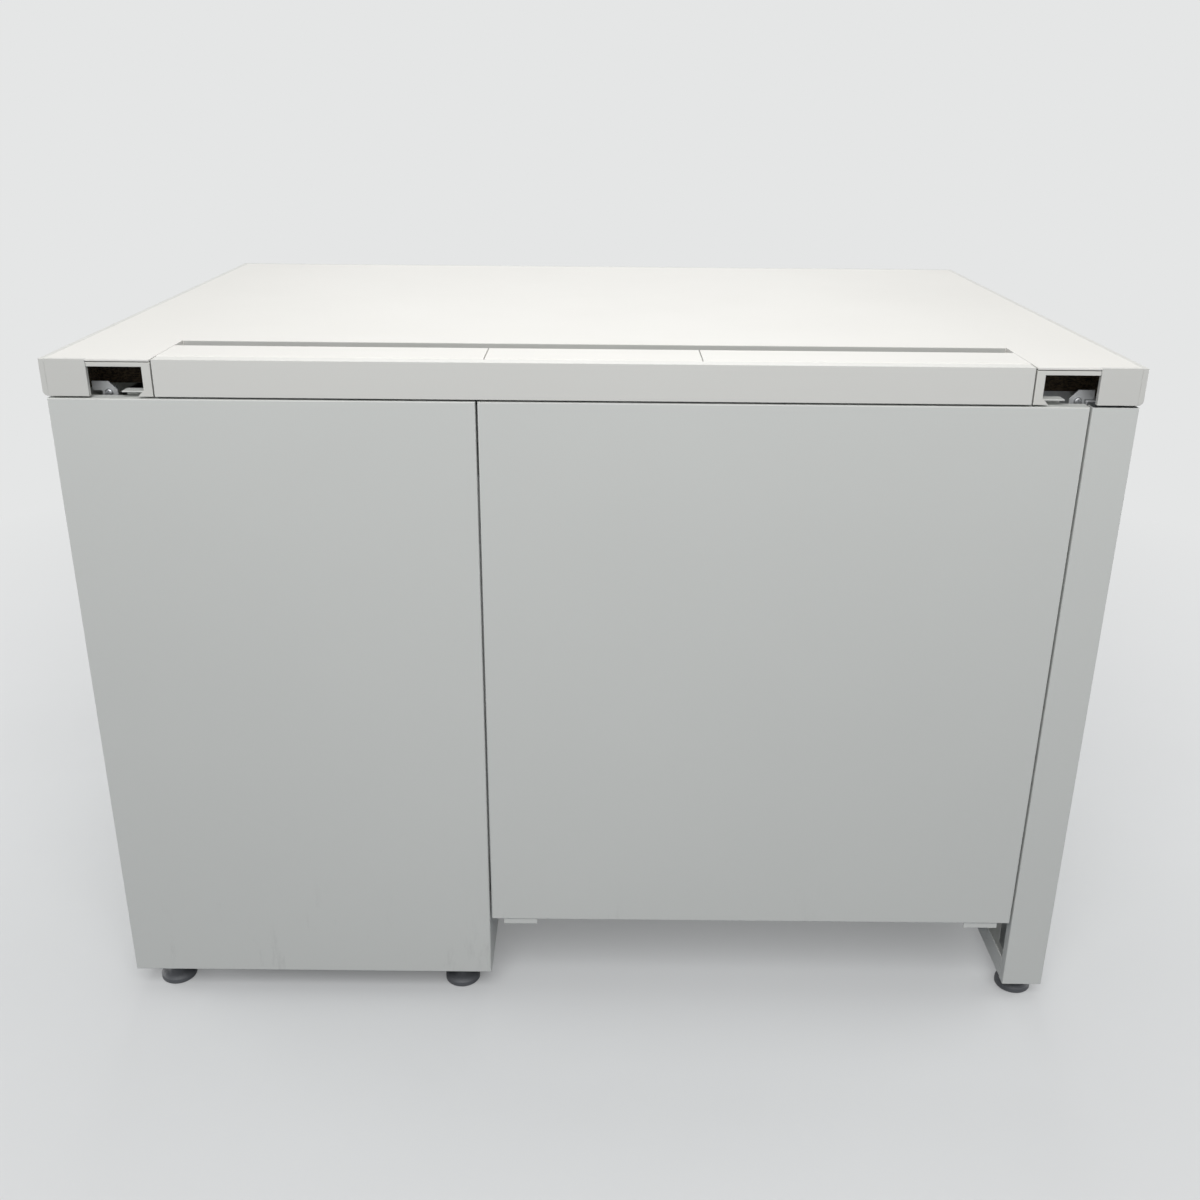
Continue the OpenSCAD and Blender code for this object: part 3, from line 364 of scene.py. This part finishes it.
MATERIALS = {
    "laminate": laminate(),
    "edge_band": edge_band(),
    "steel_white": powder_coat("steel_white", PANEL_COAT),
    "zinc": zinc("zinc", ZINC, ALONG_Y, 0.85, 0.30, 0.46),
    "plastic_white": moulded("plastic_white", WHITE_PLASTIC, 0.36, 0.50),
    "plastic_grey": moulded("plastic_grey", GREY_PLASTIC, 0.40, 0.55),
    "foot_dark": levelling_foot(),
}
# A paler copy of the panel coat: painted light for the fascia rail.
rail_coat_painted_light = powder_coat("rail_coat_painted_light", RAIL_COAT_PAINTED_LIGHT)
# A duller copy of the zinc; its paleness is partly painted light that brightens the brackets in the
# dark corner pockets.
sheet_zinc_and_painted_light = zinc("sheet_zinc_and_painted_light", SHEET_ZINC_AND_PAINTED_LIGHT, ALONG_X, 0.55, 0.42, 0.58)
bright_zinc = zinc("bright_zinc", BRIGHT_ZINC, ALONG_Z, 0.9, 0.20, 0.32)

# Nodes whose finish differs from the rest of their material slot; the fascia rail's paler coat is
# painted light, and the paler sheet zinc is partly painted light.
OWN = {"worktop_board": board(), "fascia_rail": rail_coat_painted_light, "lock_plug": bright_zinc,
       "centre_lock": bright_zinc, "hinge_pins": bright_zinc}
for name in NODES:
    if name.endswith("_box") or name in ("corner_brackets", "centre_hangers", "leg_top_bracket"):
        OWN[name] = sheet_zinc_and_painted_light


# ---------------------------------------------------------------- edges of the CAD nodes

def soft_shading():
    """Geometry nodes that smooth every edge flatter than a fold."""
    tree = bpy.data.node_groups.new("soft_shading", "GeometryNodeTree")
    for way in ("INPUT", "OUTPUT"):
        tree.interface.new_socket("Geometry", in_out=way, socket_type="NodeSocketGeometry")
    nodes, links = tree.nodes, tree.links
    angle = nodes.new("GeometryNodeInputMeshEdgeAngle")
    flat = nodes.new("FunctionNodeCompare")
    flat.data_type, flat.operation = "FLOAT", "LESS_THAN"
    flat.inputs[1].default_value = FOLD
    links.new(angle.outputs["Unsigned Angle"], flat.inputs[0])
    before = nodes.new("NodeGroupInput").outputs[0]
    for domain in ("EDGE", "FACE"):
        smooth = nodes.new("GeometryNodeSetShadeSmooth")
        smooth.domain = domain
        links.new(before, smooth.inputs["Geometry"])
        if domain == "EDGE":
            links.new(flat.outputs[0], smooth.inputs["Shade Smooth"])
        before = smooth.outputs[0]
    links.new(before, nodes.new("NodeGroupOutput").inputs[0])
    return tree


SMOOTH = soft_shading()


def round_of(name):
    """How far a node's sharp edges are broken."""
    if name in SQUARE:
        return 0
    return THIN_ROUND if name in THIN else EDGE_ROUND


def ease(obj, width):
    """Joins a CAD shape's flats, and breaks its sharp edges as paint and tools do."""
    weld = obj.modifiers.new("weld", "WELD")
    weld.merge_threshold = WELD
    flats = obj.modifiers.new("flats", "DECIMATE")
    flats.decimate_type = "DISSOLVE"
    flats.angle_limit = FLAT
    if width:
        edges = obj.modifiers.new("edges", "BEVEL")
        edges.width, edges.segments = width, 2
        edges.limit_method, edges.angle_limit = "ANGLE", SHARP
        edges.use_clamp_overlap = False
    obj.modifiers.new("smooth", "NODES").node_group = SMOOTH
    normals = obj.modifiers.new("normals", "WEIGHTED_NORMAL")
    normals.keep_sharp = True


for name, node in NODES.items():
    node.data.materials.clear()
    node.data.materials.append(OWN.get(name) or MATERIALS[SLOT_OF[name]])
    ease(node, round_of(name))


# ---------------------------------------------------------------- small pieces

PEDESTAL_DRAWERS = ("bottom_drawer", "middle_drawer", "top_drawer")
FORWARD, REARWARD, UP, DOWN = (0, -1, 0), (0, 1, 0), (0, 0, 1), (0, 0, -1)
HEAD_R, HEAD_H = 0.0038, 0.0024         # a screw's head; BEAD and PAD are (height, radius) rings
HEAD_POINTS, PAD_POINTS, BEAD_POINTS = 48, 24, 32
BEAD = ((-0.0002, 0.0060), (0.0, 0.0060), (0.0005, 0.0051), (0.0008, 0.0038), (0.0010, 0.0020))
PAD = ((-0.0001, 0.0032), (0.0004, 0.0034), (0.0007, 0.0028), (0.0008, 0.0014))
PAD_IN, PAD_END = 0.0065, 0.02          # a stop pad's place, from a drawer front's side and end
TWO_ROWS = 0.2                          # a box higher than this has two rows of screws
SCREW_SIDES, BEAD_SIDES = (0.14, 0.82), (0.22, 0.48, 0.74)      # shares of a box's width
BEAD_HALF = 0.36                        # half a bead's straight run, as a share of a box's depth
POCKET_SCREW = (0.449, 0.36, 0.6645)    # a point behind the bracket's screw, on the +X side
DUCT_SCREWS_X, DUCT_SCREW_Y, DUCT_SCREW_Z = (-0.38, -0.14, 0.04), 0.214, 0.62     # below the duct


def loft(points, faces, rings):
    """Adds a closed skin over rings of equal length, capped at both ends."""
    first, count = len(points), len(rings[0])
    for ring in rings:
        points.extend(ring)
    faces.append([first + k for k in reversed(range(count))])
    for r in range(len(rings) - 1):
        a = first + r * count
        for k in range(count):
            n = (k + 1) % count
            faces.append([a + k, a + n, a + count + n, a + count + k])
    faces.append([first + (len(rings) - 1) * count + k for k in range(count)])


def fitting(name, body, slot, shapes, material=None):
    """One piece made of several closed skins, each a list of rings."""
    points, faces = [], []
    for rings in shapes:
        loft(points, faces, rings)
    mesh = bpy.data.meshes.new(name)
    mesh.from_pydata(points, [], faces)
    mesh.materials.append(material or MATERIALS[slot])
    obj = bpy.data.objects.new(name, mesh)
    bpy.context.scene.collection.objects.link(obj)
    obj.modifiers.new("smooth", "NODES").node_group = SMOOTH
    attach(obj, body)


def turned(at, way, rings, count):
    """Rings of (height, radius) about an axis; a radius may depend on the angle."""
    turn = Vector(way).to_track_quat("Z", "Y")
    out = []
    for height, radius in rings:
        ring = []
        for k in range(count):
            a = tau * k / count
            r = radius(a) if callable(radius) else radius
            ring.append(Vector(at) + turn @ Vector((r * cos(a), r * sin(a), height)))
        out.append(ring)
    return out


def cross(arm, half):
    """The outline of a cross recess, as a radius for each angle."""
    def radius(a):
        c, s = abs(cos(a)) + 1e-9, abs(sin(a)) + 1e-9
        return max(min(arm / c, half / s), min(half / c, arm / s))
    return radius


def pan_head(at, way):
    """A pan-head screw with a cross recess, seated a little into its hole."""
    r, h = HEAD_R, HEAD_H
    slot = cross(0.52 * r, 0.13 * r)
    core = cross(0.34 * r, 0.09 * r)
    return turned(at, way, [(-0.0003, r), (0.45 * h, r), (0.75 * h, 0.92 * r), (0.93 * h, 0.76 * r),
                            (h, 0.58 * r), (h, slot), (0.35 * h, core)], HEAD_POINTS)


def landing(node, start, way):
    """The first point of a node's surface that is met from a start point."""
    start = Vector(start)
    hit, where, _, _ = NODES[node].ray_cast(start, Vector(way))
    if not hit:
        raise ValueError(f"nothing of {node} lies that way")
    return where


def stadium(at, half_l, r, height):
    """A long round-ended ring in a level plane, along Y."""
    ring = []
    for k in range(BEAD_POINTS):
        a = tau * (k + 0.5) / BEAD_POINTS
        end = half_l if sin(a) > 0 else -half_l
        ring.append(Vector(at) + Vector((r * cos(a), r * sin(a) + end, height)))
    return ring


def bead(at, half_l):
    """A shallow stiffening bead pressed up out of a drawer's floor."""
    return [stadium(at, half_l, r, height) for height, r in BEAD]


bpy.context.view_layer.update()
for drawer in PEDESTAL_DRAWERS + ("centre_drawer",):
    box = drawer + "_box"
    low, high = (Vector(c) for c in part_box(box))
    mid = (low + high) / 2
    span = high - low
    rows = (0.25, 0.75) if span.z > TWO_ROWS else (0.5,)
    screws = [pan_head(landing(box, (low.x + side * span.x, mid.y, low.z + row * span.z), FORWARD),
                       REARWARD) for side in SCREW_SIDES for row in rows]
    fitting(drawer + "_screws", drawer, "zinc", screws)
    beads = [bead(landing(box, (low.x + side * span.x, mid.y, high.z), DOWN), BEAD_HALF * span.y)
             for side in BEAD_SIDES]
    fitting(drawer + "_beads", drawer, "zinc", beads, sheet_zinc_and_painted_light)

x, y, z = POCKET_SCREW
fitting("bracket_screws", "frame", "zinc", [
    pan_head(landing("corner_brackets", (side * x, y, z), FORWARD), REARWARD) for side in (-1, 1)])
fitting("duct_screws", "frame", "zinc", [
    pan_head(landing("cable_duct", (x, DUCT_SCREW_Y, DUCT_SCREW_Z), UP), DOWN)
    for x in DUCT_SCREWS_X])

for drawer in PEDESTAL_DRAWERS:
    front = drawer + "_front"
    low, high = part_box(front)
    pads = [turned(landing(front, (x, high[1] + PAD[-1][0], z), FORWARD), REARWARD, PAD,
                   PAD_POINTS)
            for x in (low[0] + PAD_IN, high[0] - PAD_IN)
            for z in (low[2] + PAD_END, high[2] - PAD_END)]
    fitting(drawer + "_bumpers", drawer, "plastic_grey", pads)


# ---------------------------------------------------------------- stage

FAR = 14.0                              # half the floor's side
FADE_FROM, FADE_TO = 0.5, 1.9           # between these distances the floor becomes background


def looked_at(g):
    """1 for rays from the camera, a reflection or a clear part, 0 for scattered light."""
    path = g.add("ShaderNodeLightPath")
    seen = g.plus(path.outputs["Is Camera Ray"], path.outputs["Is Glossy Ray"])
    return g.ramp(g.plus(seen, path.outputs["Is Transmission Ray"]), 0.0, 1.0)


def pale_floor():
    """A matt pale floor that runs into the background, and throws little light back up."""
    g = Graph("floor")
    drift = g.noise(4.0, 3.0, 0.6)
    pale = g.mix(g.spread(drift), shade(FLOOR, 0.98), FLOOR)
    looked = looked_at(g)
    g.finish(g.mix(looked, BOUNCE, pale), g.ramp(drift, 0.0, 1.0, 0.7, 0.8), specular=0.2)
    glow = g.add("ShaderNodeEmission")
    glow.inputs["Color"].default_value = BACKGROUND
    length = g.add("ShaderNodeVectorMath", operation="LENGTH")
    g.link(g.coord, length.inputs[0])
    fade = g.add("ShaderNodeMixShader")
    away = g.ramp(length.outputs["Value"], FADE_FROM, FADE_TO, 0.2, 1.0)
    g.link(g.times(looked, away), fade.inputs[0])
    g.link(g.shader.outputs["BSDF"], fade.inputs[1])
    g.link(glow.outputs[0], fade.inputs[2])
    g.link(fade.outputs[0], g.out.inputs["Surface"])
    return g.mat


sheet = bpy.data.meshes.new("floor")
sheet.from_pydata([(-FAR, -FAR, 0), (FAR, -FAR, 0), (FAR, FAR, 0), (-FAR, FAR, 0)], [],
                  [(0, 1, 2, 3)])
sheet.materials.append(pale_floor())
ground = bpy.data.objects.new("floor", sheet)
bpy.context.scene.collection.objects.link(ground)
ground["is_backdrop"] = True


# ---------------------------------------------------------------- lights

ROOM_LIGHT = 0.38

world = bpy.data.worlds.new("world")
bpy.context.scene.world = world
world.use_nodes = True
sky = world.node_tree
path = sky.nodes.new("ShaderNodeLightPath")
seen = path.outputs["Is Camera Ray"]
for ray in ("Is Glossy Ray", "Is Transmission Ray"):
    add = sky.nodes.new("ShaderNodeMath")
    add.operation, add.use_clamp = "ADD", True
    sky.links.new(seen, add.inputs[0])
    sky.links.new(path.outputs[ray], add.inputs[1])
    seen = add.outputs[0]
room, behind = sky.nodes["Background"], sky.nodes.new("ShaderNodeBackground")
room.inputs["Color"].default_value = (1.0, 1.0, 1.0, 1)
room.inputs["Strength"].default_value = ROOM_LIGHT
behind.inputs["Color"].default_value = BACKGROUND
either = sky.nodes.new("ShaderNodeMixShader")
sky.links.new(seen, either.inputs[0])
sky.links.new(room.outputs[0], either.inputs[1])
sky.links.new(behind.outputs[0], either.inputs[2])
sky.links.new(either.outputs[0], sky.nodes["World Output"].inputs["Surface"])


def softbox(name, at, aim, size, watts):
    """A soft lamp of this width and height, turned to the point that it lights."""
    lamp = bpy.data.lights.new(name, "AREA")
    lamp.shape = "RECTANGLE"
    lamp.size, lamp.size_y = size
    lamp.energy = watts
    lamp.color = SOFT_WHITE
    obj = bpy.data.objects.new(name, lamp)
    obj.location = at
    obj.rotation_euler = (Vector(aim) - Vector(at)).to_track_quat("-Z", "Y").to_euler()
    bpy.context.scene.collection.objects.link(obj)


softbox("rear", (0.0, 2.05, 2.2), (0.0, 0.3, 0.55), (2.0, 1.4), 42)
softbox("front", (0.0, -2.2, 2.2), (0.0, -0.3, 0.45), (2.0, 1.4), 21)
softbox("above", (0.0, 0.2, 2.2), (0.0, 0.19, 0.7), (1.2, 0.8), 2.8)
for side in (-1, 1):
    softbox("side", (2.4 * side, -0.4, 0.5), (0.4 * side, -0.1, 0.35), (1.5, 0.5), 18)

scene = bpy.context.scene
scene.view_settings.view_transform = "Standard"

# ---------------------------------------------------------------- camera

EYE = (-0.0091, 1.4713, 0.9216)
SENSOR, LENS = 36, 37.48
TILT, SWING, ROLL = 0.382, 0.001, 0.009     # down from level, off the rear's middle, and about the view

camera = bpy.data.objects.new("camera", bpy.data.cameras.new("camera"))
camera.data.sensor_width = SENSOR
camera.data.lens = LENS
turn = Euler((pi / 2 - TILT, 0, pi + SWING)).to_matrix() @ Matrix.Rotation(ROLL, 3, "Z")
camera.matrix_world = Matrix.Translation(EYE) @ turn.to_4x4()
scene.collection.objects.link(camera)
scene.camera = camera

low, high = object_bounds()
